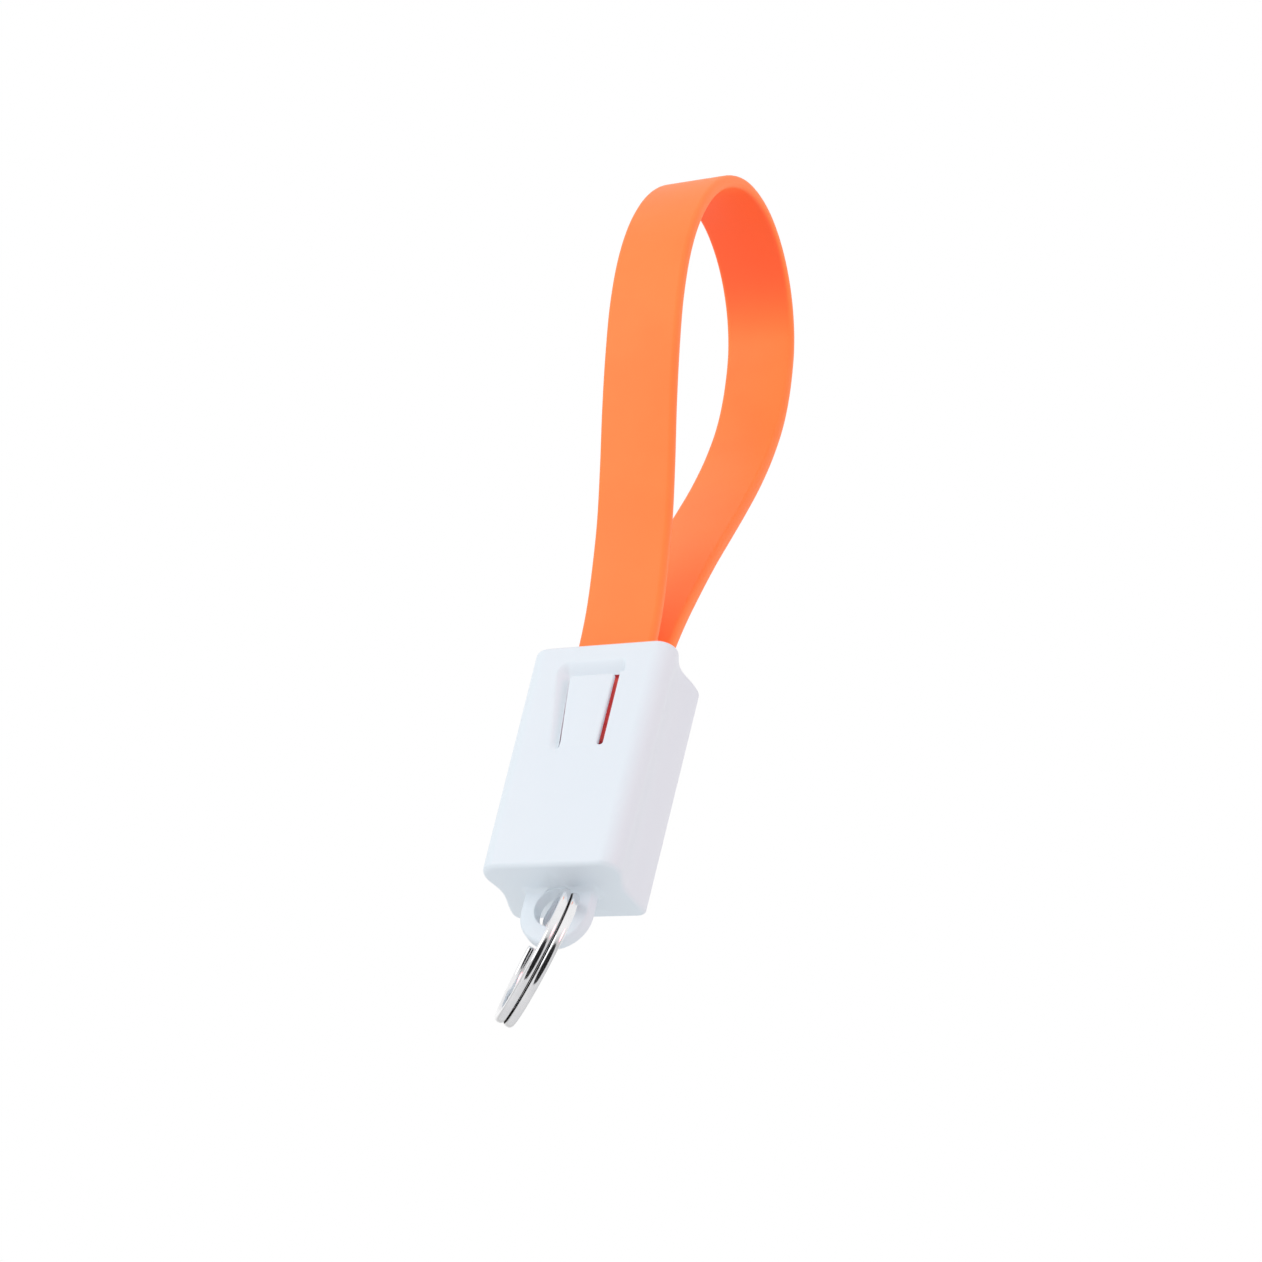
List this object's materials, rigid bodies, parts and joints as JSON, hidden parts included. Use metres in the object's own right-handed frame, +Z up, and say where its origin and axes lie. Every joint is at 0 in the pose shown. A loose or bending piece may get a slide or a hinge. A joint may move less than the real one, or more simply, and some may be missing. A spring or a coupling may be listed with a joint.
{
  "type": "key ring charging cable",
  "caption": "Short flat charging cable bent into a loop, both plugs pushed into a white waisted holder with a latch tongue, a lug and a split key ring.",
  "frame": {"origin": "inside top of the cable's loop, in the middle of the cable's width", "axes": "+Z up from the holder to the loop's top, -Y out of the holder's front face with the latch tongue, +X to the right as seen from the front"},
  "size_m": [0.0184, 0.0395, 0.1336],
  "materials": {
    "white_plastic": "satin moulded",
    "orange_jacket": "satin",
    "orange_moulding": "matt moulded",
    "bright_nickel": "bright plated",
    "steel_tube": "plated",
    "gilt": "gold flash",
    "white_carrier": "matt moulded",
    "black_plastic": "matt moulded",
    "red_insulation": "extruded",
    "white_insulation": "extruded",
    "green_insulation": "extruded",
    "black_insulation": "extruded"
  },
  "bodies": {
    "cable": {"cable_jacket": "orange_jacket", "wire_red": "red_insulation", "wire_white": "white_insulation", "wire_green": "green_insulation", "wire_black": "black_insulation", "charger_plug_overmould": "orange_moulding", "charger_plug_shell": "steel_tube", "charger_plug_carrier": "white_carrier", "charger_plug_contact_1": "gilt", "charger_plug_contact_2": "gilt", "charger_plug_contact_3": "gilt", "charger_plug_contact_4": "gilt", "phone_plug_overmould": "orange_moulding", "phone_plug_shell": "steel_tube", "phone_plug_insulator": "black_plastic", "phone_plug_contact_1": "gilt", "phone_plug_contact_2": "gilt", "phone_plug_contact_3": "gilt", "phone_plug_contact_4": "gilt", "phone_plug_contact_5": "gilt"},
    "holder": {"holder_shell": "white_plastic"},
    "latch": {"latch_tongue": "white_plastic"},
    "key_ring": {"split_ring": "bright_nickel"},
    "catch_left": {"phone_plug_hook_left": "steel_tube"},
    "catch_right": {"phone_plug_hook_right": "steel_tube"}
  },
  "joints": [
    {"name": "holder_slide", "type": "slide", "parent": "cable", "child": "holder", "axis": [0, 0, -1], "range_m": [0, 0.03]},
    {"name": "latch_flex", "type": "hinge", "parent": "holder", "child": "latch", "pos_m": [0, -0.01015, -0.09753], "axis": [1, 0, 0], "range_deg": [0, 5], "stiffness_Nm_per_rad": 0.1},
    {"name": "ring_swing", "type": "hinge", "parent": "holder", "child": "key_ring", "pos_m": [0, -0.00518, -0.11634], "axis": [-0.6223, 0.7639, -0.1713], "range_deg": [-80, 70]},
    {"name": "catch_left_press", "type": "slide", "parent": "cable", "child": "catch_left", "axis": [0, 1, 0], "range_m": [0, 0.0004], "stiffness_N_per_m": 2000},
    {"name": "catch_right_press", "type": "slide", "parent": "cable", "child": "catch_right", "axis": [0, 1, 0], "range_m": [0, 0.0004], "stiffness_N_per_m": 2000}
  ]
}
